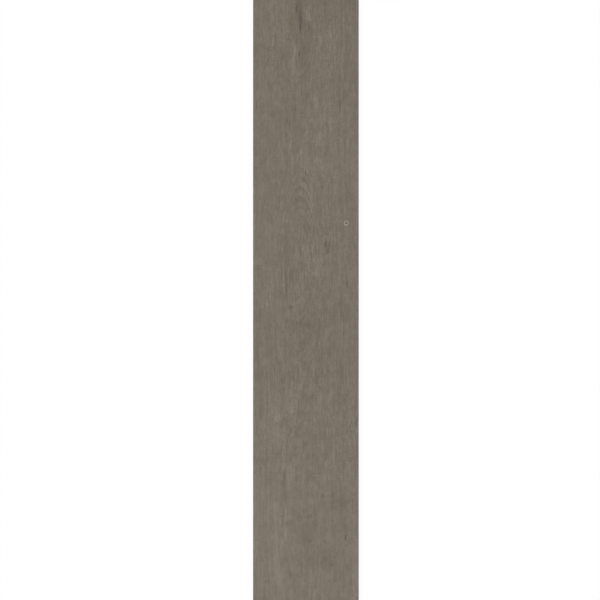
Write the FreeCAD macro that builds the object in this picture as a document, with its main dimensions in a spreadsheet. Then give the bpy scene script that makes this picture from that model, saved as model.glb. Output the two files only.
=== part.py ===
import FreeCAD, Part
import os
import Sketcher

# A wood look porcelain plank tile: one piece, pressed, fired and ground to size.
# The face is flat, with a small bevel along its four edges. The sides are ground
# square. The back has a moulded grid of shallow keys that grips the adhesive.
#
# Frame, in millimetres: +X across the plank, +Y along it, +Z out of the face.
# The origin is the middle of the plane that the ribs of the back lie in.

NODE = "plank_tile"

# Driving dimensions: name, value, meaning.
DIMENSIONS = [
    ("tile_width", 200.0, "across the plank"),
    ("tile_length", 1200.0, "along the plank"),
    ("tile_thickness", 9.5, "from the ribs of the back to the face"),
    ("face_bevel", 0.6, "width and depth of the bevel round the face"),
    ("key_side", 28.0, "side of a square key, at its mouth"),
    ("key_depth", 0.6, "depth of a key"),
    ("key_draft", 40.0, "lean of a key's walls from upright, in degrees"),
    ("rib_width", 3.0, "rib left standing between two keys"),
    ("rim_least", 5.0, "least width of the plain rim round the grid of keys"),
]


def make_dimensions(doc):
    """Puts each driving dimension in a row of a sheet, under its name."""
    sheet = doc.addObject("Spreadsheet::Sheet", "dims")
    for row, (name, value, meaning) in enumerate(DIMENSIONS, start=1):
        sheet.set(f"A{row}", name)
        sheet.set(f"B{row}", str(value))
        sheet.set(f"C{row}", meaning)
        sheet.setAlias(f"B{row}", name)
    doc.recompute()


def make_key_layout(doc):
    """Works out the pitch of the keys, and how many fit inside the rim each way."""
    layout = doc.addObject("App::VarSet", "layout")
    layout.addProperty("App::PropertyFloat", "pitch")
    layout.setExpression("pitch", "dims.key_side + dims.rib_width")
    for count, side in (("keys_across", "tile_width"), ("keys_along", "tile_length")):
        layout.addProperty("App::PropertyInteger", count)
        room = f"dims.{side} - 2 * dims.rim_least + dims.rib_width"
        layout.setExpression(count, f"floor(({room}) / (dims.key_side + dims.rib_width))")
    doc.recompute()


def origin_feature(body, role):
    """Finds one of the body's own origin planes or axes by its role."""
    return next(f for f in body.Origin.OriginFeatures if f.Role == role)


def draw_rectangle(body, name, width, length):
    """Draws a rectangle on the plane of the back's ribs, its sizes bound to the sheet.

    It is centred on the sketch's own origin, and it starts at a size of its own
    that the two bound sizes replace.
    """
    sketch = body.newObject("Sketcher::SketchObject", name)
    sketch.AttachmentSupport = (origin_feature(body, "XY_Plane"), [""])
    sketch.MapMode = "FlatFace"
    x, y = 10.0, 20.0
    corners = [FreeCAD.Vector(*p, 0) for p in ((-x, -y), (x, -y), (x, y), (-x, y))]
    ends = zip(corners, corners[1:] + corners[:1])
    sides = [sketch.addGeometry(Part.LineSegment(a, b), False) for a, b in ends]
    bottom, right, top, left = sides
    for side, following in zip(sides, sides[1:] + sides[:1]):
        sketch.addConstraint(Sketcher.Constraint("Coincident", side, 2, following, 1))
    for side in (bottom, top):
        sketch.addConstraint(Sketcher.Constraint("Horizontal", side))
    for side in (right, left):
        sketch.addConstraint(Sketcher.Constraint("Vertical", side))
    sketch.addConstraint(Sketcher.Constraint("Symmetric", bottom, 1, top, 1, -1, 1))
    for kind, side, start, size_name, size in (
        ("DistanceX", bottom, 2 * x, "width", width),
        ("DistanceY", right, 2 * y, "length", length),
    ):
        index = sketch.addConstraint(Sketcher.Constraint(kind, side, 1, side, 2, start))
        sketch.renameConstraint(index, size_name)
        sketch.setExpression(f"Constraints.{size_name}", size)
    return sketch


def press_blank(body):
    """Makes the pressed block, ground square on all four sides."""
    blank = body.newObject("PartDesign::Pad", "ground_blank")
    blank.Profile = draw_rectangle(body, "tile_outline", "dims.tile_width", "dims.tile_length")
    blank.setExpression("Length", "dims.tile_thickness")
    body.Document.recompute()
    return blank


def bevel_face(body, blank):
    """Bevels the four edges of the face."""
    faces = blank.Shape.Faces
    top = max(range(len(faces)), key=lambda i: faces[i].CenterOfMass.z)
    bevel = body.newObject("PartDesign::Chamfer", "face_edge_bevel")
    bevel.Base = (blank, [f"Face{top + 1}"])
    bevel.setExpression("Size", "dims.face_bevel")
    body.Document.recompute()
    return bevel


def mould_first_key(body):
    """Sinks the key in the corner of the grid that has the lowest X and Y."""
    outline = draw_rectangle(body, "key_outline", "dims.key_side", "dims.key_side")
    for axis, count in (("x", "keys_across"), ("y", "keys_along")):
        place = f"-(layout.{count} - 1) / 2 * layout.pitch"
        outline.setExpression(f".AttachmentOffset.Base.{axis}", place)
    key = body.newObject("PartDesign::Pocket", "first_key")
    key.Profile = outline
    key.Reversed = True
    key.setExpression("Length", "dims.key_depth")
    key.setExpression("TaperAngle", "-dims.key_draft")
    body.Document.recompute()
    return key


def repeat_key(body, key):
    """Repeats the first key across the tile and along it."""
    grid = body.newObject("PartDesign::LinearPattern", "key_grid")
    grid.Originals = [key]
    grid.Direction = (origin_feature(body, "X_Axis"), [""])
    grid.Direction2 = (origin_feature(body, "Y_Axis"), [""])
    grid.Mode = "Extent"
    grid.Mode2 = "Extent"
    grid.setExpression("Length", "(layout.keys_across - 1) * layout.pitch")
    grid.setExpression("Length2", "(layout.keys_along - 1) * layout.pitch")
    grid.setExpression("Occurrences", "layout.keys_across")
    grid.setExpression("Occurrences2", "layout.keys_along")
    grid.Refine = False
    body.Tip = grid
    body.Document.recompute()
    return grid


def make_plank_tile(doc):
    """Makes the whole tile as one body."""
    body = doc.addObject("PartDesign::Body", NODE)
    body.Label = NODE
    blank = press_blank(body)
    bevelled = bevel_face(body, blank)
    keyed_once = mould_first_key(body)
    keyed = repeat_key(body, keyed_once)
    volumes = [step.Shape.Volume for step in (blank, bevelled, keyed_once, keyed)]
    if volumes != sorted(volumes, reverse=True) or len(set(volumes)) != len(volumes):
        raise RuntimeError(f"a feature of {NODE} took nothing away: {volumes}")
    return body


def check_document(doc, bodies):
    """Stops the script if a feature failed, or a body isn't one valid solid."""
    for thing in doc.Objects:
        if "Invalid" in thing.State or "Error" in thing.State:
            raise RuntimeError(f"{thing.Label} is {thing.State}")
    for body in bodies:
        shape = body.Shape
        if shape.isNull() or not shape.isValid() or len(shape.Solids) != 1:
            raise RuntimeError(f"{body.Label} is not one valid solid")


def main():
    doc = FreeCAD.newDocument("porcelain_plank")
    make_dimensions(doc)
    make_key_layout(doc)
    tile = make_plank_tile(doc)
    doc.recompute()
    check_document(doc, [tile])
    os.makedirs("parts", exist_ok=True)
    tile.Shape.exportStep(f"parts/{tile.Label}.step")


main()
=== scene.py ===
import math
from collections import namedtuple
from functools import cached_property

import bmesh
import bpy
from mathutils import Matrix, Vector


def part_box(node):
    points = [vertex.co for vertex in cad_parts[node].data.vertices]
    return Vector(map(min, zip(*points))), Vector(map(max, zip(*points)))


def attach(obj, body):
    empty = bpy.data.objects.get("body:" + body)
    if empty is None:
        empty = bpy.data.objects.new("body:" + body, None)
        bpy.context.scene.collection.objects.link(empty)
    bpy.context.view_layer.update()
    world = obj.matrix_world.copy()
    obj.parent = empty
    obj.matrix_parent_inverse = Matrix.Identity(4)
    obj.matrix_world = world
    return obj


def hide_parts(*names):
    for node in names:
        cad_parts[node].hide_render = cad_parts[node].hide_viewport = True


# Dresses a wood look porcelain plank tile, seen from straight above.
#
# The tile is one piece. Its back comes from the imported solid. This script gives it
# a face with the pressed relief of brushed wood, a printed and glazed wood figure,
# and an unglazed body on its bevel, sides and back. The relief of the mesh and the
# print of the material come from the same formulas, so the two stay in register.

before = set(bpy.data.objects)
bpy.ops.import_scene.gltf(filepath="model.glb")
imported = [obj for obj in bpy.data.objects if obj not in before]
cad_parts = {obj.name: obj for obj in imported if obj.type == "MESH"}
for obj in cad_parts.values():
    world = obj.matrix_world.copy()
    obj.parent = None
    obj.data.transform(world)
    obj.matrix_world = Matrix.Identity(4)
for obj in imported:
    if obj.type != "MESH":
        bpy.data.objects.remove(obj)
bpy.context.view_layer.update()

MM = 0.001  # the scene is in metres, and the pattern formulas are in millimetres
NODE = "plank_tile"
LOW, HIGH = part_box(NODE)
FACE_HEIGHT = HIGH.z / MM

# The photograph's frame
PHOTO_PIXELS = 600
PLANK_LEFT, PLANK_RIGHT = 253.0, 358.8  # edges of the plank, in pixels

# The face's own grid: cells across the plank and along it
CELLS_ACROSS, CELLS_ALONG = 248, 360
FACE_SLOT, BODY_SLOT = 0, 1  # material slots of the piece
LOOKS_DOWN = -0.3  # faces whose normal's z is below this are the back
SAME_PLACE = 0.001 * MM  # points nearer than this are one

# The layout of the piece's baked maps: where each side's strip starts, and its width,
# as shares of the map
MAP_RIM = 0.004
MAP_STRIPS = {
    "face": (0.004, 0.780),
    "back": (0.792, 0.140),
    "right": (0.940, 0.009),
    "left": (0.955, 0.009),
    "top": (0.970, 0.009),
    "bottom": (0.985, 0.009),
}

# The log that the board was sawn from, in millimetres
PITH_X, PITH_DEPTH = -10.5, 29.2  # where the pith runs, and how deep at its nearest
PITH_NEAR_Y = 50.0  # where along the plank it comes nearest
PITH_SWAY, PITH_PERIOD = 12.5, 480.0  # it sways down and back up over this length
RING_WIDTH = 2.7

# Colours, as sRGB levels of 255
PRINT_MEAN = (109, 100.8, 89)
BODY_COLOUR = (178, 169, 155)
TONE_SPAN = 40.0  # levels from a mean colour to its darkest and its lightest
TONE_OFFSET = 4.6  # makes up for what the dark lines take from the print's mean
GLAZE_EDGE_TONE = -8.0  # the print is this much darker where it thins out on the bevel

GLAZE_DEPTH = 0.3  # how far the glaze and its print reach down the bevel, in mm
SPECULAR_LEVEL = 0.35

FLOOR_SIZE, FLOOR_DROP = 14.0, 0.05 * MM
FLOOR_WHITE = 0.8  # share of the light that the floor sends back
SUN_WIDTH = math.radians(25)
LENS = 100.0  # focal length in mm

# Marks of the print. x and y are in millimetres from the tile's middle, as are the half
# width and the half length. The tone is in levels, the depth is how far a mark is pressed
# in, and the lean is how far it goes across for each millimetre along. All lists run
# from the top of the photograph down.
Mark = namedtuple("Mark", "x y half_width half_length tone depth lean", defaults=(0.0, 0.0))

# Places where the figure changes. What the amount means is said at each list.
Place = namedtuple("Place", "x y half_width half_length amount lean", defaults=(0.0,))

# Cracks and dark dashes, pressed in
CHECKS = [
    Mark(-13, 566, 5, 12, -7, 0.05),
    Mark(-18, 550, 1.3, 9, -24, 0.14),
    Mark(-10.5, 540, 3.8, 15, -13, 0.18, lean=-0.04),
    Mark(-9.5, 524, 3, 17, -8, 0.05),
    Mark(-8.5, 524, 3.2, 8, -6, 0.1),
    Mark(-10.2, 513, 1.1, 9, -28, 0.28),
    Mark(-9, 488, 2.4, 18, -5, 0.06, lean=0.03),
    Mark(-12.3, 465, 1.1, 6, -28, 0.24),
    Mark(-45.8, 459, 1.3, 8, -17, 0.1, lean=0.02),
    Mark(-53, 449, 1.2, 4, -10, 0.05),
    Mark(-33, 432, 1, 6, -10, 0.05),
    Mark(-33, 415, 1, 7, -8, 0.04),
    Mark(-8, 391, 1.1, 10, -13, 0.08, lean=-0.08),
    Mark(-93, 369, 1.2, 7, -11, 0.05),
    Mark(65, 366, 1.4, 12, -13, 0.07),
    Mark(-19.5, 363, 1, 8, -10, 0.05),
    Mark(-36.8, 311, 2, 3.5, -14, 0.06),
    Mark(-37.4, 300, 2, 3.5, -12, 0.05),
    Mark(-15.5, 284, 2.2, 8, -8, 0.04, lean=0.1),
    Mark(-42, 278, 1.3, 7, -14, 0.08),
    Mark(-45.8, 243, 1.8, 4, -12, 0.05),
    Mark(-0.7, 243, 1, 9, -16, 0.1),
    Mark(9, 226, 1.2, 14, -7, 0.04, lean=-0.5),
    Mark(20, 203, 1.2, 14, -7, 0.04, lean=-0.5),
    Mark(14, 150, 1.2, 12, -6, 0.03, lean=-0.6),
    Mark(4, 140, 1.2, 12, -6, 0.03, lean=-0.6),
    Mark(-13.2, 110, 1.2, 4, -16, 0.06),
    Mark(-6, 110, 1, 4, -9, 0.04),
    Mark(37.3, 106, 1.8, 6, -24, 0.16),
    Mark(44.5, 106, 1.2, 7, -15, 0.1),
    Mark(25, 94, 0.9, 7, -9, 0.04),
    Mark(-10.8, 93, 0.9, 9, -24, 0.08),
    Mark(15.5, 92, 0.9, 8, -14, 0.05),
    Mark(41.4, 92, 2.2, 5, -15, 0.12),
    Mark(19.5, 91, 0.9, 7, -12, 0.05),
    Mark(-45.5, 52, 1, 22, -9, 0.04),
    Mark(-10, 52, 1.3, 12, -7, 0.04),
    Mark(76.5, 47, 1.2, 20, -11, 0.08, lean=-0.13),
    Mark(72, 33, 1.5, 4, -10, 0.05),
    Mark(-37.5, 32, 1.3, 30, -16, 0.1, lean=-0.06),
    Mark(78, 30, 1.8, 6, -15, 0.08),
    Mark(-28, -13.5, 3.6, 2.6, -16, 0.06),
    Mark(25, -38, 1.6, 5, -8, 0.04),
    Mark(-10, -45, 1.6, 5, -9, 0.05),
    Mark(3, -49, 1.6, 5, -9, 0.05),
    Mark(13, -51, 1.6, 5, -8, 0.04),
    Mark(-22.7, -59, 1.3, 4.5, -15, 0.06),
    Mark(72, -59, 1.2, 9, -9, 0.05),
    Mark(24, -102, 1, 13, -7, 0.05, lean=0.05),
    Mark(31, -108, 1.4, 16, -8, 0.06, lean=0.12),
    Mark(-27, -118, 0.9, 13, -7, 0.04, lean=-0.28),
    Mark(29.8, -135, 2.4, 8, -8, 0.04),
    Mark(66, -137, 1.2, 19, -8, 0.04),
    Mark(70, -137, 1.2, 17, -7, 0.03),
    Mark(-28.5, -148, 1, 4, -9, 0.04),
    Mark(-23.8, -149, 1.3, 5, -15, 0.07),
    Mark(-45.8, -152, 3, 5, -7, 0.03),
    Mark(-10, -165, 1, 8, -13, 0.05),
    Mark(25.6, -166, 2.6, 3, -10, 0.05),
    Mark(-40.6, -169, 2.2, 5, -10, 0.05),
    Mark(11.8, -183, 3.5, 4, -8, 0.04),
    Mark(71.9, -225, 1.2, 7, -8, 0.04),
    Mark(95, -231, 1.5, 9, -17, 0.1, lean=0.03),
    Mark(-13, -243, 2.8, 18, -8, 0.04, lean=0.45),
    Mark(-36.3, -266, 1, 12, -12, 0.08),
    Mark(-0.6, -272, 3.5, 5, -9, 0.04),
    Mark(-36.3, -290, 1, 16, -9, 0.06),
    Mark(38, -295, 3.5, 7, -8, 0.04),
    Mark(19, -328, 8, 1.5, -7, 0.03),
    Mark(6.7, -331, 1.4, 5, -10, 0.05),
    Mark(19, -335.5, 8, 1.5, -7, 0.03),
    Mark(-41, -345, 1.6, 26, -10, 0.1, lean=0.03),
    Mark(-39, -372, 1, 10, -17, 0.08, lean=0.02),
    Mark(7.8, -408, 3.5, 4, -9, 0.04),
    Mark(-27, -420, 3.5, 5, -6, 0.03),
    Mark(-36.3, -422, 1, 6, -9, 0.04),
    Mark(-43.7, -423, 1, 6, -9, 0.04),
    Mark(75, -449, 1.4, 6, -26, 0.16),
    Mark(6.7, -456, 3, 3, -8, 0.04),
    Mark(35, -456, 3, 3, -8, 0.04),
    Mark(58, -479, 1.5, 4, -9, 0.04),
    Mark(36, -488, 3, 3, -6, 0.03),
    Mark(30, -497, 3, 2.5, -8, 0.04),
    Mark(-43.7, -500, 2.6, 5, -7, 0.04),
    Mark(48.8, -501, 4, 3, -8, 0.04),
    Mark(53.5, -530, 2.6, 5, -7, 0.04),
    Mark(-74, -533, 4.5, 3, -8, 0.04),
]

# Pale streaks along the grain
LIGHT_STREAKS = [
    Mark(0, 540, 1.6, 9, 7),
    Mark(6, 538, 1.6, 11, 8.5),
    Mark(82, 531, 5, 5, 5),
    Mark(18, 517, 4, 4, 5),
    Mark(27, 500, 2.2, 22, 8.5, lean=0.02),
    Mark(46, 500, 2, 8, 7),
    Mark(-62.7, 494, 1.5, 20, 9),
    Mark(54.5, 472, 1.6, 38, 7.5, lean=0.05),
    Mark(-23.5, 452, 3.2, 50, 5.5),
    Mark(-10.8, 416, 2, 18, 3, lean=-0.08),
    Mark(19, 374, 4, 24, 7),
    Mark(35, 366, 3, 10, 4),
    Mark(45.6, 343, 2, 30, 6),
    Mark(8.8, 338, 3, 4, 5),
    Mark(1.2, 321, 3, 8, 6),
    Mark(26, 306, 7, 14, 5),
    Mark(-29.6, 296, 1.8, 13, 8, lean=0.12),
    Mark(-10, 270, 2.4, 17, 8, lean=0.05),
    Mark(-46, 268, 2, 13, 7, lean=0.2),
    Mark(19, 266, 3, 7, 5),
    Mark(2.5, 260, 3.5, 9, 7),
    Mark(29, 258, 2.2, 12, 6),
    Mark(-20, 206, 1.4, 12, 5, lean=0.5),
    Mark(4, 205, 1.6, 22, 3, lean=-0.5),
    Mark(-16.8, 97, 1.5, 13, 11),
    Mark(-7, 97, 1.3, 10, 6),
    Mark(7, 93, 5, 5, 5),
    Mark(33, 93, 1.8, 5, 6),
    Mark(12, 92, 1.2, 8, 6),
    Mark(19, 57, 6, 12, 7, lean=0.1),
    Mark(-42.7, 47, 1.4, 30, 11),
    Mark(-15, 27, 4.5, 6, 9),
    Mark(-74, 5, 1.3, 32, 5),
    Mark(-67, 5, 1.3, 32, 5),
    Mark(-11, 4, 6, 9, 6),
    Mark(38, -64, 5, 12, 5),
    Mark(-46.5, -100, 1.6, 14, 6, lean=-0.1),
    Mark(-71, -106, 1.4, 12, 6),
    Mark(-25, -160, 2, 24, 7, lean=0.16),
    Mark(-9, -165, 4.5, 9, 9),
    Mark(48, -172, 5, 14, 5),
    Mark(-26, -197, 6.5, 23, 8),
    Mark(-55, -220, 4.5, 11, 7),
    Mark(51, -223, 3.5, 5, 8),
    Mark(-58, -232, 4, 60, 4, lean=0.03),
    Mark(-26, -254, 1.8, 4, 9),
    Mark(39, -307, 3.5, 4, 8),
    Mark(9.7, -317, 2.6, 5, 6),
    Mark(-29, -340, 4.5, 25, 6.5),
    Mark(17.5, -357, 4.5, 8, 6),
    Mark(14.6, -381, 2.6, 5, 7),
    Mark(-56.5, -397, 5.5, 16, 5),
    Mark(-37.4, -399, 2.4, 9, 7),
    Mark(93, -423, 2, 7, 8),
    Mark(-38, -432, 1.8, 26, 8.5, lean=0.03),
    Mark(-45, -463, 2.4, 8, 6),
    Mark(-53, -505, 3.5, 75, 4, lean=-0.05),
    Mark(10, -524, 3.5, 14, 6),
    Mark(18, -551, 5, 6, 5),
    Mark(68.6, -559, 2, 4, 6),
    Mark(93, -560, 2, 8, 7),
]

# Broad patches that are a little lighter or darker
SOFT_PATCHES = [
    Mark(0, 590, 200, 120, -2),
    Mark(36, 566, 26, 18, -6.5),
    Mark(-79, 564, 9, 14, 3),
    Mark(84, 560, 22, 20, -5),
    Mark(57, 547, 8, 9, -3),
    Mark(-13, 537, 9, 48, -6.5),
    Mark(55, 535, 8, 8, -3.5),
    Mark(43, 530, 11, 7, -6.5),
    Mark(57, 527, 7, 10, -4),
    Mark(-29, 522, 5, 11, -6),
    Mark(3, 520, 8, 7, -8),
    Mark(5, 505, 8, 14, -5),
    Mark(-74, 503, 9, 14, 3),
    Mark(42, 499, 7, 9, -3),
    Mark(82, 496, 9, 10, -3),
    Mark(81, 493, 9, 12, -5.5),
    Mark(51, 487, 6, 9, -3),
    Mark(65, 486, 8, 6, -4),
    Mark(-96, 482, 9, 26, -4),
    Mark(0, 482, 8, 24, -6.5),
    Mark(-38, 456, 8, 12, -5),
    Mark(23, 448, 8, 12, 3.5),
    Mark(-4, 440, 9, 40, -4),
    Mark(87, 425, 12, 34, -5),
    Mark(-38, 414, 7, 10, -3),
    Mark(-36, 414, 6, 12, -3),
    Mark(27, 407, 8, 10, 3),
    Mark(64, 403, 5, 24, -5),
    Mark(46, 382, 6, 16, 3.5),
    Mark(29, 372, 3, 10, -6.5),
    Mark(-57, 357, 8, 9, -6),
    Mark(-58, 352, 8, 9, -3),
    Mark(83, 352, 9, 12, -3.5),
    Mark(-26, 342, 10, 34, -4, lean=0.1),
    Mark(-94, 340, 7, 14, -3),
    Mark(-17, 325, 7, 10, -4.5),
    Mark(-13, 320, 8, 12, -4.5),
    Mark(91, 320, 9, 34, -3.5),
    Mark(-13, 314, 8, 10, -3.5),
    Mark(15, 291, 8, 4, -5),
    Mark(19, 280, 8, 9, -3),
    Mark(38, 280, 6, 9, -6.5),
    Mark(-57, 252, 8, 10, 3),
    Mark(4, 230, 26, 34, 2.5),
    Mark(-5, 229, 8, 4, -6),
    Mark(87, 217, 9, 12, 3.5),
    Mark(19, 206, 8, 10, 3),
    Mark(74, 194, 13, 32, -5),
    Mark(-13, 188, 10, 9, -6.5),
    Mark(-40, 168, 9, 12, 3),
    Mark(-85, 138, 9, 12, 3.5),
    Mark(-50, 137, 9, 12, 3.5),
    Mark(4, 136, 4, 7, -9),
    Mark(93, 110, 7, 16, -3),
    Mark(-37, 82, 16, 42, -3),
    Mark(38, 59, 9, 12, 3),
    Mark(-25, 45, 5, 12, -8),
    Mark(10, 34, 8, 10, 3),
    Mark(-64, -2, 8, 14, 3.5),
    Mark(74, -24, 13, 18, -6.5),
    Mark(93, -28, 6, 16, 3.5),
    Mark(4, -34, 8, 10, 3),
    Mark(-58, -43, 3, 6, -10),
    Mark(-21, -44, 8, 10, -4),
    Mark(-2, -46, 28, 7, -4),
    Mark(20, -60, 34, 70, -2),
    Mark(-83, -78, 10, 14, -3.5),
    Mark(-83, -80, 9, 12, -3),
    Mark(61, -89, 8, 10, -3.5),
    Mark(10, -96, 9, 12, -3),
    Mark(64, -119, 9, 12, -4),
    Mark(-94, -126, 8, 28, -5),
    Mark(66, -137, 7, 19, -4),
    Mark(-2, -176, 5, 20, -5),
    Mark(-53, -178, 9, 12, 3),
    Mark(-17, -187, 5, 18, 4),
    Mark(68, -193, 8, 22, -5),
    Mark(-62, -222, 16, 26, 5),
    Mark(-4, -227, 8, 10, 3.5),
    Mark(-42, -228, 6, 5, -7),
    Mark(-83, -229, 9, 12, 3),
    Mark(-83, -231, 9, 14, 3.5),
    Mark(93, -248, 8, 12, 3.5),
    Mark(-30, -250, 7, 8, 3),
    Mark(31, -255, 8, 8, -5),
    Mark(76, -257, 7, 10, 2.5),
    Mark(-52, -260, 20, 9, 6),
    Mark(-32, -278, 7, 12, 3.5),
    Mark(-54, -290, 5, 8, -5),
    Mark(10, -300, 20, 12, -3.5),
    Mark(21, -300, 7, 7, -4),
    Mark(-94, -301, 8, 14, -3.5),
    Mark(-82, -302, 14, 9, -3),
    Mark(-43, -317, 7, 6, 4),
    Mark(-51, -323, 8, 10, -3),
    Mark(-94, -335, 7, 14, -3),
    Mark(40, -350, 8, 10, -3.5),
    Mark(66, -381, 22, 2.5, -5),
    Mark(66, -382, 24, 11, -6),
    Mark(50, -391, 8, 7, -6),
    Mark(0, -420, 300, 220, 1.4),
    Mark(94, -420, 8, 34, -3.5),
    Mark(64, -424, 18, 30, -4.5),
    Mark(-70, -430, 36, 150, 3),
    Mark(10, -440, 16, 34, -3),
    Mark(95, -460, 12, 90, 4),
    Mark(-94, -465, 8, 20, 4),
    Mark(26, -493, 34, 15, -5.5),
    Mark(76, -504, 7, 6, -5),
    Mark(-94, -516, 7, 14, 3.5),
    Mark(-50, -520, 10, 14, 3),
    Mark(44, -520, 9, 12, 3),
    Mark(-29, -521, 5, 6, -5),
    Mark(-43, -550, 9, 24, 4.5),
    Mark(-57, -556, 6, 10, -5),
    Mark(-94, -562, 7, 14, 3),
    Mark(84, -562, 12, 14, 3.5),
]

# Small light and dark streaks that aren't pressed in
FAINT_STREAKS = [
    Mark(-62.2, 559, 3, 9, 6),
    Mark(-79.2, 537, 3, 9, 5),
    Mark(-11.2, 530, 3, 9, 6),
    Mark(-30.1, 515, 3, 9, -5),
    Mark(81.5, 514, 2.6, 6, -5),
    Mark(58.8, 507, 3, 9, -5),
    Mark(-67.9, 501, 3.5, 10, 5),
    Mark(58.8, 475, 3.5, 10, -5),
    Mark(-46.5, 445, 3, 10, -6),
    Mark(-86.8, 444, 2.4, 6, 6),
    Mark(37.5, 443, 3, 10, 7),
    Mark(-18.7, 431, 2.6, 6, -7),
    Mark(-60.3, 429, 2.4, 6, -6),
    Mark(17, 422, 3, 10, 5),
    Mark(85.3, 421, 3, 8, -5),
    Mark(49.4, 418, 2.4, 6, 6),
    Mark(68.3, 414, 3, 9, -5),
    Mark(5.9, 412, 2.4, 6, -6),
    Mark(-36, 411, 3, 9, -5),
    Mark(49.4, 388, 3, 12, 5),
    Mark(22.9, 378, 2.4, 7, 6),
    Mark(23, 348, 3, 9, 4),
    Mark(49.4, 331, 2.4, 6, -5),
    Mark(38, 322, 3, 9, 5),
    Mark(73, 298, 4.5, 10, -5),
    Mark(15.3, 271, 3, 7, -7),
    Mark(-9, 254, 3, 11, 6),
    Mark(53.1, 246, 3.5, 10, -5),
    Mark(32.3, 244, 2.4, 6, -5),
    Mark(5.9, 235, 2.6, 7, 7),
    Mark(4, 210, 2.2, 5, -7),
    Mark(17, 206, 3, 9, 5),
    Mark(-54.7, 203, 3.5, 10, 5),
    Mark(-43, 184, 4, 12, 5),
    Mark(72.1, 151, 2.4, 5, -6),
    Mark(-7.4, 142, 2, 6, 5),
    Mark(-45, 138, 3.5, 9, 5),
    Mark(41.8, 124, 2.4, 6, -6),
    Mark(-6.5, 115, 1.8, 5, 7),
    Mark(11.5, 111, 2.4, 5, -7),
    Mark(-60, 106, 5, 11, 3.5),
    Mark(-13, 88, 2.6, 9, 5),
    Mark(26.7, 37, 3, 9, 6),
    Mark(0.2, 30, 2.2, 6, 7),
    Mark(-16, 29, 2.6, 9, 7),
    Mark(-26.3, -12, 3, 8, -6),
    Mark(21, -21, 2.4, 6, 6),
    Mark(-18.7, -29, 2.4, 6, -6),
    Mark(60.7, -61, 3.5, 10, -5),
    Mark(-82, -66, 3.5, 9, -6),
    Mark(34.2, -103, 3, 9, -7),
    Mark(-82, -107, 3.5, 10, -5),
    Mark(-32, -166, 2.4, 6, -6),
    Mark(-47, -204, 2.6, 7, 6),
    Mark(-31, -229, 3, 9, 7),
    Mark(49.4, -229, 2.6, 5, 6),
    Mark(-5.5, -243, 3, 9, 6),
    Mark(-49, -244, 3, 11, 6),
    Mark(42, -251, 3.5, 9, 5),
    Mark(-7.4, -263, 2.6, 6, 5),
    Mark(-49, -272, 3, 11, 6),
    Mark(-22.5, -282, 2.2, 6, 8),
    Mark(-5.5, -315, 3.5, 8, -6),
    Mark(79.6, -336, 3.2, 9, -6),
    Mark(-50.9, -360, 3.5, 16, -5),
    Mark(-49, -386, 3, 8, -5),
    Mark(79.6, -403, 3.5, 9, -5),
    Mark(-94, -407, 5, 11, -4),
    Mark(85.3, -452, 4, 11, -5),
    Mark(-81.1, -495, 3, 9, -6),
    Mark(-37, -503, 3, 9, 5),
    Mark(43.7, -542, 2.6, 7, 6),
]

# Dark middles of the two knots
KNOT_EYES = [
    Mark(39, 102, 4, 8, -6, 0.06),
    Mark(32, -371, 3, 5.2, -12, 0.12),
]

# Where a knot pushes the rings aside, by how many millimetres
KNOT_SWIRLS = [
    Place(39, 102, 9, 24, 7),
    Place(32, -373, 6, 12, 4),
]

# Where the print has more fine texture, and by how much
LIVELY = [
    Place(-20, 510, 50, 80, 0.35),
    Place(45, 460, 50, 120, 0.45),
    Place(-64, 455, 30, 55, 0.55),
    Place(0, 265, 45, 35, 0.3),
    Place(5, 215, 40, 60, 0.25),
    Place(60, 130, 40, 28, 0.4),
    Place(14, 35, 38, 110, 0.85),
    Place(-60, -145, 55, 40, 0.35),
    Place(60, -180, 55, 90, 0.15),
    Place(-20, -235, 50, 50, 0.2),
    Place(-35, -245, 40, 60, 0.35),
    Place(88, -250, 30, 50, 0.6),
    Place(-44, -400, 14, 80, 0.15),
    Place(-70, -460, 40, 130, -0.25),
    Place(-5, -500, 110, 130, -0.35),
    Place(10, -555, 50, 50, -0.3),
]

# Where the rings run evenly, and how much less they waver there
CALM = [Place(-4, 185, 45, 65, 0.8)]

# Where the rings show best, and how much stronger they are
CATHEDRALS = [
    Place(-3, 205, 30, 45, 0.7),
    Place(-46, 185, 24, 42, 0.4),
    Place(20, 160, 26, 30, 0.6),
    Place(-40, 40, 22, 70, 0.3),
    Place(10, -20, 34, 70, 0.3),
    Place(-10, -115, 40, 45, 0.3),
    Place(-85, -150, 20, 60, 0.2),
    Place(20, -225, 40, 40, 0.2),
]

# A small pin knot with a dark eye, a pale collar and a faint dark rim
PIN_X, PIN_Y = 76.2, 145.3
PIN_STRETCH = 1.1  # how much longer than wide it is
PIN_EYE = 1.7  # radius
PIN_COLLAR, PIN_COLLAR_WIDTH = 3.3, 1.25  # middle radius and half width
PIN_RIM, PIN_RIM_WIDTH = 6.4, 1.1
PIN_EYE_TONE, PIN_COLLAR_TONE, PIN_RIM_TONE = -34.0, 30.0, -6.0


class Field:
    """A number that varies over the surface, open to plain arithmetic."""

    def __init__(self, pattern, socket):
        self.pattern = pattern
        self.socket = socket

    def __add__(self, other):
        return self.pattern.math("ADD", self, other)

    def __sub__(self, other):
        return self.pattern.math("SUBTRACT", self, other)

    def __rsub__(self, other):
        return self.pattern.math("SUBTRACT", other, self)

    def __mul__(self, other):
        return self.pattern.math("MULTIPLY", self, other)

    def __truediv__(self, other):
        return self.pattern.math("DIVIDE", self, other)

    def __neg__(self):
        return self * -1.0

    __radd__ = __add__
    __rmul__ = __mul__


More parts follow.
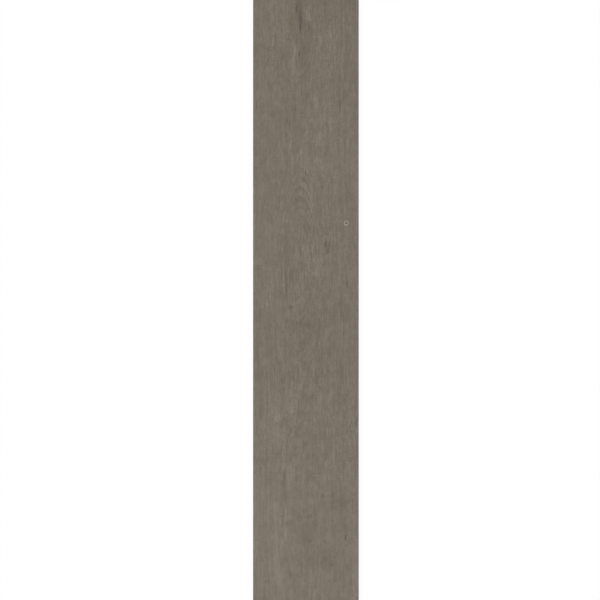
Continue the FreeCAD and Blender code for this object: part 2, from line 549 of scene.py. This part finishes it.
class Pattern:
    """Adds nodes to one tree, of a material or of geometry."""

    def __init__(self, tree):
        self.tree = tree

    def node(self, kind, inputs, output=0, **settings):
        """Adds a node with these settings and inputs, and returns one output."""
        made = self.tree.nodes.new(kind)
        for name, value in settings.items():
            setattr(made, name, value)
        for key, value in inputs.items():
            if isinstance(value, Field):
                self.tree.links.new(value.socket, made.inputs[key])
            else:
                made.inputs[key].default_value = value
        return Field(self, made.outputs[output])

    def split(self, position):
        """The three coordinates of a position, in millimetres."""
        inputs = {0: Field(self, position), "Scale": 1 / MM}
        in_mm = self.node("ShaderNodeVectorMath", inputs, operation="SCALE")
        return [self.node("ShaderNodeSeparateXYZ", {0: in_mm}, output=axis) for axis in "XYZ"]

    def math(self, operation, *values):
        return self.node("ShaderNodeMath", dict(enumerate(values)), operation=operation)

    def clamp(self, value, low, high):
        return self.math("MAXIMUM", self.math("MINIMUM", value, high), low)

    def rise(self, value, low, high):
        """0 below low, 1 above high, and smooth between them."""
        inputs = {"Value": value, "From Min": low, "From Max": high}
        return self.node("ShaderNodeMapRange", inputs, interpolation_type="SMOOTHSTEP")

    def bell(self, value):
        """1 where the value is 0, and near 0 beyond -2 and 2."""
        return self.math("EXPONENT", -(value * value))

    def noise(self, x, y, across, along, seed, detail=2.0, roughness=0.5):
        """Noise of about -1 to 1, whose lumps are this many units wide and long."""
        place = self.node("ShaderNodeCombineXYZ", {0: x / across, 1: y / along, 2: seed})
        inputs = {"Vector": place, "Scale": 1.0, "Detail": detail, "Roughness": roughness}
        return (self.node("ShaderNodeTexNoise", inputs) - 0.5) * 4.0

    @property
    def group_kind(self):
        return "GeometryNodeGroup" if self.tree.type == "GEOMETRY" else "ShaderNodeGroup"

    def new_group(self, name, inputs):
        """A new group of nodes with one output: its pattern, its inputs and its output."""
        group = bpy.data.node_groups.new(name, self.tree.bl_idname)
        for key in inputs:
            group.interface.new_socket(key, in_out="INPUT", socket_type="NodeSocketFloat")
        group.interface.new_socket("Sum", in_out="OUTPUT", socket_type="NodeSocketFloat")
        inside = Pattern(group)
        given = {s.name: Field(inside, s) for s in group.nodes.new("NodeGroupInput").outputs}
        return inside, given, group.nodes.new("NodeGroupOutput").inputs["Sum"]

    def marks(self, x, y, marks, size="tone", bluntness=2.0):
        """Adds up a soft oval for each mark, as strong as the mark's value of this name.

        In a material, a long list needs an x and a y that both depend on noise. If only
        one does, the renderer works out the other's part of every mark first, and it has
        no room to keep so many values.
        """
        inside, given, output = self.new_group("marks", ["X", "Y"])
        so_far = 0.0
        for mark in marks:
            inputs = {
                "So Far": so_far,
                "X": given["X"],
                "Y": given["Y"],
                "Per Width": 1 / mark.half_width,
                "Widths Off": -mark.x / mark.half_width,
                "Per Length": 1 / mark.half_length,
                "Lengths Off": -mark.y / mark.half_length,
                "Lean": -mark.lean * mark.half_length / mark.half_width,
                "Bluntness": bluntness / 2,
                "Size": getattr(mark, size),
            }
            so_far = inside.node(self.group_kind, inputs, node_tree=self.mark_group)
        inside.tree.links.new(so_far.socket, output)
        return self.node(self.group_kind, {"X": x, "Y": y}, node_tree=inside.tree)

    @cached_property
    def mark_group(self):
        """A group of nodes that adds one soft oval to the sum so far."""
        names = ["So Far", "X", "Y", "Per Width", "Widths Off", "Per Length", "Lengths Off"]
        p, given, output = self.new_group("mark", names + ["Lean", "Bluntness", "Size"])
        along = p.math("MULTIPLY_ADD", given["Y"], given["Per Length"], given["Lengths Off"])
        across = p.math("MULTIPLY_ADD", given["X"], given["Per Width"], given["Widths Off"])
        across = across + along * given["Lean"]
        reach = p.math("POWER", along * along, given["Bluntness"])
        far = p.math("MULTIPLY_ADD", across, across, reach)
        oval = p.math("POWER", math.exp(-1), far)
        result = p.math("MULTIPLY_ADD", oval, given["Size"], given["So Far"])
        p.tree.links.new(result.socket, output)
        return p.tree


class WoodFigure:
    """The parts of the wood's figure that the relief and the print share."""

    def __init__(self, pattern, x, y):
        p = self.pattern = pattern
        self.x, self.y = x, y
        self.fibre_x = x + p.noise(x, y, 140, 420, 11) * 3.0 + p.noise(x, y, 34, 120, 12) * 1.3
        ragged = p.noise(x, y, 5, 9, 13, detail=3)
        self.mark_x, self.mark_y = x + ragged * 0.7, y + ragged * 0.3
        self.wildness = 1.0 - p.marks(x, y, CALM, "amount", bluntness=4.0)
        self.growth = self.across_rings()
        self.rings = self.ring_lines()
        self.bands = p.noise(self.growth, y + x * 4.0, 3.4, 300, 31, detail=3, roughness=0.6)
        self.fibres = p.noise(self.fibre_x, y, 2.3, 60, 32, detail=3, roughness=0.6)
        self.streaks = p.noise(self.fibre_x, y, 5.5, 150, 33, detail=3, roughness=0.6)
        self.strokes = p.noise(self.fibre_x, y, 1.9, 18, 35, detail=3, roughness=0.6)
        self.grooves = 1.0 - p.rise(self.fibres, -0.75, -0.1)
        self.pores = p.rise(p.noise(self.fibre_x, y, 0.8, 7.0, 34, detail=1), 0.5, 0.9)
        self.chatter = self.saw_chatter()
        self.collar, self.rim, self.eye = self.pin_knot()

    def across_rings(self):
        """Distance from the pith, in millimetres, pushed aside round knots."""
        p = self.pattern
        turn = (self.y - PITH_NEAR_Y) * (2 * math.pi / PITH_PERIOD)
        sway = (1.0 - p.math("COSINE", turn)) * PITH_SWAY
        uneven = p.noise(self.x, self.y, 40, 55, 21, detail=3) * 3.0
        depth = PITH_DEPTH + sway + uneven * self.wildness
        side = self.x + (self.fibre_x - self.x) * self.wildness - PITH_X
        pushed = p.marks(self.x, self.y, KNOT_SWIRLS, "amount")
        return p.math("SQRT", side * side + depth * depth) + pushed

    def ring_lines(self):
        """Latewood lines of the rings, from 0 to about 1, fading where the print does."""
        p = self.pattern
        wobble = p.noise(self.fibre_x, self.y, 18, 60, 22, detail=4) * 0.3
        count = self.growth / RING_WIDTH + wobble * self.wildness
        phase = p.math("FRACT", count)
        line = p.rise(phase, 0.25, 0.85) * (1.0 - p.rise(phase, 0.87, 1.0))
        strength = p.noise(count * 1.7, 0.0, 1, 1, 23, detail=0) * 0.35 + 0.6
        shown = p.rise(p.noise(self.x, self.y, 30, 80, 24), -0.7, 0.9) * 0.5 + 0.1
        shown = shown + p.marks(self.x, self.y, CATHEDRALS, "amount")
        broken = p.noise(self.x, self.y, 6, 9, 25, detail=2) * 0.4 + 0.8
        return line * p.clamp(strength, 0.1, 1.0) * shown * p.clamp(broken, 0.0, 1.2)

    def saw_chatter(self):
        """Faint marks across the grain, from 0 to 1.5, in scattered places."""
        p = self.pattern
        short = p.rise(p.noise(self.x, self.y, 8.5, 2.3, 41), 0.0, 0.9)
        short = short * p.rise(p.noise(self.x, self.y, 24, 50, 42), -0.3, 0.6)
        wide = p.rise(p.noise(self.x, self.y, 26, 2.8, 43), 0.05, 0.8)
        wide = wide * p.rise(p.noise(self.x, self.y, 34, 22, 44), 0.0, 0.7)
        return short + wide * 0.5

    def pin_knot(self):
        """The collar, the rim round it and the eye of the pin knot, each from 0 to 1."""
        p = self.pattern
        side, along = self.x - PIN_X, (self.y - PIN_Y) / PIN_STRETCH
        uneven = p.noise(self.x, self.y, 3.0, 3.0, 51) * 0.5
        radius = p.math("SQRT", side * side + along * along) + uneven
        collar = p.bell((radius - PIN_COLLAR) / PIN_COLLAR_WIDTH)
        rim = p.bell((radius - PIN_RIM) / PIN_RIM_WIDTH)
        return collar, rim, p.bell(radius / PIN_EYE)


def pressed_relief(wood):
    """Height of the face in millimetres, from 0 down. So are the numbers below."""
    p = wood.pattern
    height = (
        wood.bands * 0.03
        + wood.streaks * 0.03
        + p.noise(wood.x, wood.y, 26, 60, 61) * 0.03
        - wood.grooves * 0.13
        - wood.rings * 0.10
        - wood.chatter * 0.04
        - wood.eye * 0.15
        + wood.collar * 0.03
        - p.marks(wood.mark_x, wood.mark_y, CHECKS, "depth", bluntness=4.0)
        - p.marks(wood.mark_x, wood.mark_y, KNOT_EYES, "depth")
        - 0.05
    )
    return p.math("MINIMUM", height, 0.0)


def printed_tone(wood):
    """How much lighter the print is than its mean, in levels, as most numbers below."""
    p = wood.pattern
    mottle = p.noise(wood.x, wood.y, 15, 22, 73, detail=4, roughness=0.85)
    patch_x = wood.x + p.noise(wood.x, wood.y, 14, 26, 76, detail=3) * 3.5
    patch_y = wood.y + p.noise(wood.x, wood.y, 10, 18, 77, detail=3) * 5.0
    patches = p.marks(patch_x, patch_y, SOFT_PATCHES)
    streak_y = wood.y + (patch_x - wood.x) * 0.3
    light = p.marks(patch_x, streak_y, LIGHT_STREAKS, bluntness=4.0)
    uneven = p.clamp(mottle * 0.5 + 1.0, 0.3, 1.7)
    brushed = p.rise(p.noise(wood.fibre_x, wood.y, 3.0, 120, 78, detail=3), 0.2, 1.0)
    texture = (
        wood.strokes * 7.0
        + p.noise(wood.fibre_x, wood.y, 0.55, 24, 74, detail=3, roughness=0.65) * 3.0
        + p.noise(wood.x, wood.y, 2.4, 3.0, 75, detail=1) * 3.5
        - wood.grooves * 7.0
        - wood.pores * 14.0
        - wood.chatter * 9.0
    )
    lively = p.marks(wood.x, wood.y, LIVELY, "amount") + 0.75
    return (
        texture * lively
        + mottle * 8.5
        + p.noise(wood.x, wood.y, 60, 170, 72) * 1.5
        + wood.bands * 4.0
        + wood.streaks * 4.5
        + brushed * 6.0
        + patches
        + light * uneven
        + p.marks(wood.mark_x, wood.mark_y, CHECKS, bluntness=4.0)
        + p.marks(wood.mark_x, wood.mark_y, FAINT_STREAKS)
        + p.marks(wood.mark_x, wood.mark_y, KNOT_EYES)
        - wood.rings * 16.0
        + wood.collar * PIN_COLLAR_TONE
        + wood.rim * PIN_RIM_TONE
        + wood.eye * PIN_EYE_TONE
        + TONE_OFFSET
    )


def linear(levels):
    """An sRGB colour in levels of 255, as the linear numbers that Blender takes."""

    def channel(level):
        share = max(level, 0.0) / 255
        return share / 12.92 if share <= 0.04045 else ((share + 0.055) / 1.055) ** 2.4

    return (*(channel(level) for level in levels), 1.0)


def shifted(levels, tone):
    return tuple(level + tone for level in levels)


def new_material(name):
    """A material, its shader, a pattern in its tree, and coordinates in millimetres."""
    material = bpy.data.materials.new(name)
    material.use_nodes = True
    pattern = Pattern(material.node_tree)
    place = material.node_tree.nodes.new("ShaderNodeTexCoord").outputs["Object"]
    shader = material.node_tree.nodes["Principled BSDF"]
    shader.inputs["Specular IOR Level"].default_value = SPECULAR_LEVEL
    return material, shader, pattern, pattern.split(place)


def mix(pattern, share, colour_a, colour_b):
    """Blends two colours. Each is four numbers or a Field."""
    inputs = {"Factor": share, "A": colour_a, "B": colour_b}
    made = pattern.tree.nodes.new("ShaderNodeMix")
    made.data_type = "RGBA"
    sockets = {s.name: s for s in made.inputs if s.type == "RGBA"}
    sockets["Factor"] = made.inputs["Factor"]
    for name, value in inputs.items():
        if isinstance(value, Field):
            pattern.tree.links.new(value.socket, sockets[name])
        else:
            sockets[name].default_value = value
    return Field(pattern, next(s for s in made.outputs if s.type == "RGBA"))


def link_shader(pattern, shader, colour, roughness, bump_height):
    """Gives a shader its colour, its roughness and a bump whose height is in mm."""
    links = pattern.tree.links
    bump = pattern.node("ShaderNodeBump", {"Height": bump_height, "Distance": MM})
    links.new(colour.socket, shader.inputs["Base Color"])
    links.new(roughness.socket, shader.inputs["Roughness"])
    links.new(bump.socket, shader.inputs["Normal"])


def tone_share(pattern, tone):
    """Where a tone lies between the darkest, 0, and the lightest, 1."""
    return pattern.clamp(tone / (2 * TONE_SPAN) + 0.5, 0.0, 1.0)


def print_colour(pattern, tone):
    """The print's colour where it is this many levels lighter than its mean."""
    share = tone_share(pattern, tone)
    darkest = linear(shifted(PRINT_MEAN, -TONE_SPAN))
    middle = linear(PRINT_MEAN)
    lightest = linear(shifted(PRINT_MEAN, TONE_SPAN))
    lower = mix(pattern, pattern.clamp(share * 2.0, 0.0, 1.0), darkest, middle)
    return mix(pattern, pattern.clamp(share * 2.0 - 1.0, 0.0, 1.0), lower, lightest)


def glazed_print():
    """Matte glaze over the printed wood figure."""
    material, shader, p, (x, y, _) = new_material("glazed_wood_print")
    wood = WoodFigure(p, x, y)
    fine = p.noise(wood.fibre_x, y, 0.6, 16, 81, detail=3, roughness=0.6)
    grit = p.noise(x, y, 0.5, 0.5, 82, detail=1)
    roughness = p.clamp(fine * 0.05 + wood.pores * 0.12 + wood.rings * 0.06 + 0.56, 0.3, 0.9)
    bump = fine * 0.012 + wood.strokes * 0.02 + grit * 0.003 - wood.pores * 0.05
    link_shader(p, shader, print_colour(p, printed_tone(wood)), roughness, bump)
    return material


def fired_body():
    """Unglazed porcelain: ground smooth on the sides, moulded on the back."""
    material, shader, p, (x, y, z) = new_material("fired_porcelain_body")
    ground = p.rise(z, 0.6, 1.2)
    scratches = p.noise(x / 60 + y / 60, z, 1.0, 0.22, 91, detail=3, roughness=0.6) * ground
    place = p.node("ShaderNodeCombineXYZ", {0: x, 1: y, 2: z})
    specks, clouds, pits = (
        p.node("ShaderNodeTexNoise", {"Vector": place, "Scale": scale, "Detail": detail})
        for scale, detail in ((1.6, 2.0), (0.05, 3.0), (0.7, 4.0))
    )
    on_ribs = 1.0 - p.rise(z, 0.05, 0.3)
    kiln_wash = on_ribs * p.rise(pits + clouds, 0.95, 1.25)
    tone = (
        (clouds - 0.5) * 34.0
        + scratches * 5.0
        - p.rise(specks, 0.66, 0.74) * 22.0
        + p.rise(1.0 - specks, 0.68, 0.76) * 12.0
        + kiln_wash * 20.0
    )
    darkest = linear(shifted(BODY_COLOUR, -TONE_SPAN))
    lightest = linear(shifted(BODY_COLOUR, TONE_SPAN))
    body = mix(p, tone_share(p, tone), darkest, lightest)
    glaze_line = FACE_HEIGHT - GLAZE_DEPTH + (clouds - 0.5) * 0.3
    glazed = p.rise(z - glaze_line, -0.04, 0.04)
    glaze = linear(shifted(PRINT_MEAN, GLAZE_EDGE_TONE))
    roughness = 0.78 - glazed * 0.22 + kiln_wash * 0.1
    bump = scratches * 0.01 + (pits - 0.5) * 0.06
    link_shader(p, shader, mix(p, glazed, body, glaze), roughness, bump)
    return material


def bevel_width():
    """Width of the bevel round the face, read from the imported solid."""
    top = [v.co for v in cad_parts[NODE].data.vertices if v.co.z > HIGH.z - 0.1 * MM]
    return HIGH.x - max(corner.x for corner in top)


def back_of_solid():
    """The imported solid's back, with its keys: all faces that look down."""
    shell = bmesh.new()
    shell.from_mesh(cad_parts[NODE].data)
    bmesh.ops.remove_doubles(shell, verts=shell.verts, dist=SAME_PLACE)
    others = [face for face in shell.faces if face.normal.z > LOOKS_DOWN]
    bmesh.ops.delete(shell, geom=others, context="FACES")
    return shell


def add_face_grid(shell, bevel):
    """Adds the face as a fine flat grid, and returns its points, row by row."""
    inner_x, inner_y = HIGH.x - bevel, HIGH.y - bevel
    rows = []
    for j in range(CELLS_ALONG + 1):
        y = inner_y * (2 * j / CELLS_ALONG - 1)
        xs = [inner_x * (2 * i / CELLS_ACROSS - 1) for i in range(CELLS_ACROSS + 1)]
        rows.append([shell.verts.new((x, y, HIGH.z)) for x in xs])
    for lower, upper in zip(rows, rows[1:]):
        for i in range(CELLS_ACROSS):
            face = shell.faces.new((lower[i], lower[i + 1], upper[i + 1], upper[i]))
            face.material_index = FACE_SLOT
            face.smooth = True
    return rows


def add_side(shell, edge, bevel, corners):
    """Adds the bevel under one edge of the face, and the side under the bevel.

    The side goes down to the two corners of the back, so it is a fan of triangles.
    """
    outward_x, outward_y = HIGH.x / (HIGH.x - bevel), HIGH.y / (HIGH.y - bevel)
    rim = []
    for v in edge:
        place = (v.co.x * outward_x, v.co.y * outward_y, HIGH.z - bevel)
        rim.append(shell.verts.new(place))
    faces = [(edge[k], rim[k], rim[k + 1], edge[k + 1]) for k in range(len(edge) - 1)]
    start, end = (corners[sign(v.co.x), sign(v.co.y)] for v in (rim[0], rim[-1]))
    middle = len(rim) // 2
    for k in range(len(rim) - 1):
        faces.append((start if k < middle else end, rim[k], rim[k + 1]))
    faces.append((start, end, rim[middle]))
    for points in faces:
        shell.faces.new(points).material_index = BODY_SLOT


def sign(number):
    return 1 if number > 0 else -1


def tile_mesh():
    """One closed mesh: the solid's back, new sides and bevel, and a fine flat face."""
    bevel = bevel_width()
    shell = back_of_solid()
    for face in shell.faces:
        face.material_index = BODY_SLOT
        face.smooth = False
    reach = [v for v in shell.verts if abs(v.co.x) > HIGH.x - MM and abs(v.co.y) > HIGH.y - MM]
    corners = {(sign(v.co.x), sign(v.co.y)): v for v in reach}
    rows = add_face_grid(shell, bevel)
    edges = [rows[0], [row[-1] for row in rows], rows[-1], [row[0] for row in rows]]
    for edge in edges:
        add_side(shell, edge, bevel, corners)
    bmesh.ops.remove_doubles(shell, verts=shell.verts, dist=SAME_PLACE)
    bmesh.ops.recalc_face_normals(shell, faces=shell.faces)
    mesh = bpy.data.meshes.new("fired_plank_mesh")
    shell.to_mesh(mesh)
    shell.free()
    return mesh


def unwrap_tile(mesh):
    """Lays the face out widest, then the back, and the sides as narrow strips."""
    layer = mesh.uv_layers.new(name="OFBake")
    size = HIGH - LOW
    for face in mesh.polygons:
        normal = face.normal
        for index in face.loop_indices:
            place = mesh.vertices[mesh.loops[index].vertex_index].co - LOW
            across, along, up = (place[k] / size[k] for k in range(3))
            if face.material_index == FACE_SLOT:
                strip, share = "face", across
            elif normal.z < LOOKS_DOWN:
                strip, share = "back", across
            elif abs(normal.x) > abs(normal.y):
                strip, share = ("right" if normal.x > 0 else "left"), up
            else:
                strip, share, along = ("top" if normal.y > 0 else "bottom"), up, across
            start, width = MAP_STRIPS[strip]
            layer.data[index].uv = (start + width * share, MAP_RIM + along * (1 - 2 * MAP_RIM))


def press_face(tile):
    """Presses the relief into the face with geometry nodes, and applies them."""
    group = bpy.data.node_groups.new("press_relief", "GeometryNodeTree")
    socket = "NodeSocketGeometry"
    group.interface.new_socket("Geometry", in_out="INPUT", socket_type=socket)
    group.interface.new_socket("Geometry", in_out="OUTPUT", socket_type=socket)
    start = group.nodes.new("NodeGroupInput")
    end = group.nodes.new("NodeGroupOutput")
    p = Pattern(group)
    x, y, z = p.split(group.nodes.new("GeometryNodeInputPosition").outputs[0])
    on_face = p.math("GREATER_THAN", z, FACE_HEIGHT - 0.1)
    relief = pressed_relief(WoodFigure(p, x, y))
    shift = p.node("ShaderNodeCombineXYZ", {2: relief * on_face * MM})
    press = group.nodes.new("GeometryNodeSetPosition")
    group.links.new(start.outputs[0], press.inputs["Geometry"])
    group.links.new(shift.socket, press.inputs["Offset"])
    group.links.new(press.outputs[0], end.inputs[0])
    modifier = tile.modifiers.new("press_relief", "NODES")
    modifier.node_group = group
    bpy.context.view_layer.update()
    flat = tile.data
    evaluated = tile.evaluated_get(bpy.context.evaluated_depsgraph_get())
    tile.data = bpy.data.meshes.new_from_object(evaluated)
    tile.modifiers.clear()
    bpy.data.meshes.remove(flat)
    bpy.data.node_groups.remove(group)


def make_tile():
    """The whole dressed tile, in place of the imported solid."""
    mesh = tile_mesh()
    unwrap_tile(mesh)
    mesh.materials.append(glazed_print())
    mesh.materials.append(fired_body())
    tile = bpy.data.objects.new("fired_plank", mesh)
    bpy.context.scene.collection.objects.link(tile)
    press_face(tile)
    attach(tile, "root")
    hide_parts(NODE)
    return tile


def seen_directly(tree):
    """1 for what the camera, a reflection or a clear surface shows, and 0 for light."""
    rays = tree.nodes.new("ShaderNodeLightPath")
    shown = rays.outputs["Is Camera Ray"]
    for other in ("Is Glossy Ray", "Is Transmission Ray"):
        either = tree.nodes.new("ShaderNodeMath")
        either.operation = "MAXIMUM"
        tree.links.new(shown, either.inputs[0])
        tree.links.new(rays.outputs[other], either.inputs[1])
        shown = either.outputs[0]
    return shown


def studio_world(strength):
    """Even white light, behind a white backdrop."""
    world = bpy.data.worlds.new("studio")
    bpy.context.scene.world = world
    world.use_nodes = True
    tree = world.node_tree
    tree.nodes.clear()
    light, backdrop = (tree.nodes.new("ShaderNodeBackground") for _ in range(2))
    light.inputs["Strength"].default_value = strength
    light.inputs["Color"].default_value = (1.0, 1.0, 1.0, 1.0)
    backdrop.inputs["Strength"].default_value = 1.0
    backdrop.inputs["Color"].default_value = (1.0, 1.0, 1.0, 1.0)
    choose = tree.nodes.new("ShaderNodeMixShader")
    tree.links.new(seen_directly(tree), choose.inputs[0])
    tree.links.new(light.outputs[0], choose.inputs[1])
    tree.links.new(backdrop.outputs[0], choose.inputs[2])
    output = tree.nodes.new("ShaderNodeOutputWorld")
    tree.links.new(choose.outputs[0], output.inputs[0])


def white_floor(shadow_share):
    """A floor that shows white, with this share of it open to shadows."""
    bpy.ops.mesh.primitive_plane_add(size=FLOOR_SIZE, location=(0, 0, -FLOOR_DROP))
    floor = bpy.context.object
    floor.name = "floor"
    material = bpy.data.materials.new("white_floor")
    material.use_nodes = True
    tree = material.node_tree
    tree.nodes.clear()
    plain, open_to_shadow = (tree.nodes.new("ShaderNodeBsdfDiffuse") for _ in range(2))
    plain.inputs["Color"].default_value = (FLOOR_WHITE,) * 3 + (1.0,)
    open_to_shadow.inputs["Color"].default_value = (shadow_share,) * 3 + (1.0,)
    glow = tree.nodes.new("ShaderNodeEmission")
    glow.inputs["Strength"].default_value = 1.0 - shadow_share
    shown = tree.nodes.new("ShaderNodeAddShader")
    tree.links.new(open_to_shadow.outputs[0], shown.inputs[0])
    tree.links.new(glow.outputs[0], shown.inputs[1])
    choose = tree.nodes.new("ShaderNodeMixShader")
    tree.links.new(seen_directly(tree), choose.inputs[0])
    tree.links.new(plain.outputs[0], choose.inputs[1])
    tree.links.new(shown.outputs[0], choose.inputs[2])
    output = tree.nodes.new("ShaderNodeOutputMaterial")
    tree.links.new(choose.outputs[0], output.inputs[0])
    floor.data.materials.append(material)


def soft_sun(name, toward, strength):
    """A broad far lamp whose light comes from this direction."""
    lamp = bpy.data.lights.new(name, "SUN")
    lamp.angle = SUN_WIDTH
    lamp.energy = strength
    sun = bpy.data.objects.new(name, lamp)
    bpy.context.scene.collection.objects.link(sun)
    sun.location = toward
    sun.rotation_mode = "QUATERNION"
    sun.rotation_quaternion = (-Vector(toward)).to_track_quat("-Z", "Y")


def camera_above():
    """A long lens straight above the plank, framed as the photograph is."""
    pixel = (HIGH.x - LOW.x) / (PLANK_RIGHT - PLANK_LEFT)
    middle = (PLANK_LEFT + PLANK_RIGHT) / 2
    lens = bpy.data.cameras.new("camera")
    lens.lens = LENS
    half_view = PHOTO_PIXELS / 2 * pixel
    distance = half_view / (lens.sensor_width / 2 / lens.lens)
    camera = bpy.data.objects.new("camera", lens)
    bpy.context.scene.collection.objects.link(camera)
    camera.location = ((PHOTO_PIXELS / 2 - middle) * pixel, 0.0, HIGH.z + distance)
    bpy.context.scene.camera = camera


def main():
    bpy.context.scene.view_settings.view_transform = "Standard"
    camera_above()
    make_tile()
    studio_world(strength=0.5)
    white_floor(shadow_share=0.09)
    soft_sun("key_light", (-2.0, 1.2, 2.3), strength=1.45)
    soft_sun("fill_light", (2.2, -0.8, 2.3), strength=0.8)


main()
